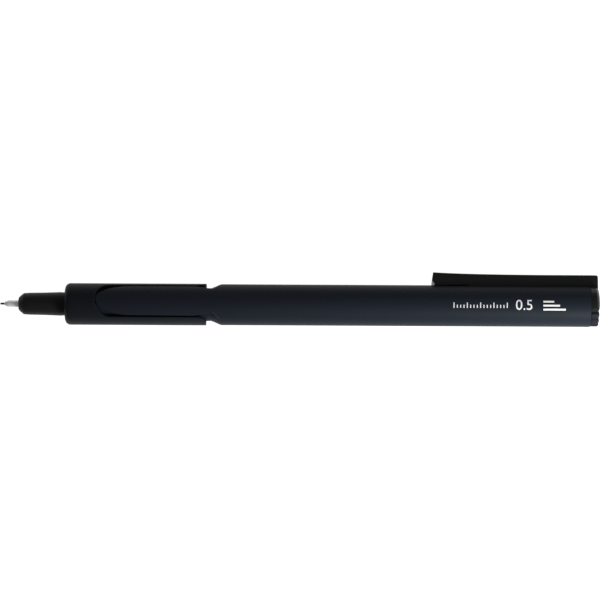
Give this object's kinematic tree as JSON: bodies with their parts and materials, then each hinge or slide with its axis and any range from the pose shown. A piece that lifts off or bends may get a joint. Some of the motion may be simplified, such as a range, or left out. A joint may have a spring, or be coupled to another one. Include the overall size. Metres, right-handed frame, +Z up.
{
  "type": "mechanical pencil",
  "caption": "Slim dark mechanical pencil lying on its side, fed by pulling its front sleeve forward, with a pocket clip and a fluted tail.",
  "frame": {"origin": "middle of the pencil's footprint, on the surface it lies on", "axes": "+X from the lead's tip to the tail, +Y to the clip's side, +Z up"},
  "size_m": [0.145, 0.013, 0.0101],
  "materials": {
    "graphite": "dull grey graphite",
    "nickel": "satin nickel",
    "rubber": "matte",
    "nose_plastic": "satin black",
    "brass": "machined",
    "spring_steel": "bright wire",
    "white_plastic": "smooth, slightly translucent white",
    "inner_plastic": "satin near-black",
    "grip_plastic": "satin charcoal",
    "barrel_plastic": "satin dark blue-grey",
    "clip_plastic": "semi-gloss black",
    "grey_plastic": "light grey"
  },
  "bodies": {
    "barrel": {"barrel": "barrel_plastic", "front_tube": "inner_plastic", "nose_cone": "nose_plastic", "tip_pipe": "nickel", "lead_retainer": "rubber", "chuck_sleeve": "brass", "main_spring": "spring_steel"},
    "slider": {"slide_grip": "grip_plastic", "pull_ring": "inner_plastic", "lead_tank": "white_plastic", "chuck_holder": "white_plastic", "chuck": "brass", "spare_lead_1": "graphite", "spare_lead_2": "graphite", "spare_lead_3": "graphite"},
    "chuck_ring": {"chuck_ring": "brass"},
    "lead": {"lead": "graphite"},
    "tail": {"tail_plug": "grip_plastic", "tail_disc": "grey_plastic", "clip_root": "clip_plastic"},
    "clip": {"clip": "clip_plastic"}
  },
  "joints": [
    {"name": "grip_pull", "type": "slide", "parent": "barrel", "child": "slider", "axis": [-1, 0, 0], "range_m": [0, 0.004], "stiffness_N_per_m": 600, "springref_m": -0.004, "deforming": ["main_spring"]},
    {"name": "chuck_ring_follow", "type": "slide", "parent": "barrel", "child": "chuck_ring", "axis": [-1, 0, 0], "range_m": [0, 0.0007]},
    {"name": "lead_feed", "type": "slide", "parent": "barrel", "child": "lead", "axis": [-1, 0, 0], "range_m": [-0.001, 0.006]},
    {"name": "tail_pull", "type": "slide", "parent": "barrel", "child": "tail", "axis": [1, 0, 0], "range_m": [0, 0.012]},
    {"name": "clip_flex", "type": "hinge", "parent": "tail", "child": "clip", "pos_m": [0.06985, 0.00521, 0.00244], "axis": [0, -0.3603, -0.9328], "range_deg": [0, 6], "stiffness_Nm_per_rad": 1, "springref_deg": -1.72}
  ],
  "couplings": [
    {"joint": "chuck_ring_follow", "follows": "grip_pull", "ratio": 0.175}
  ]
}
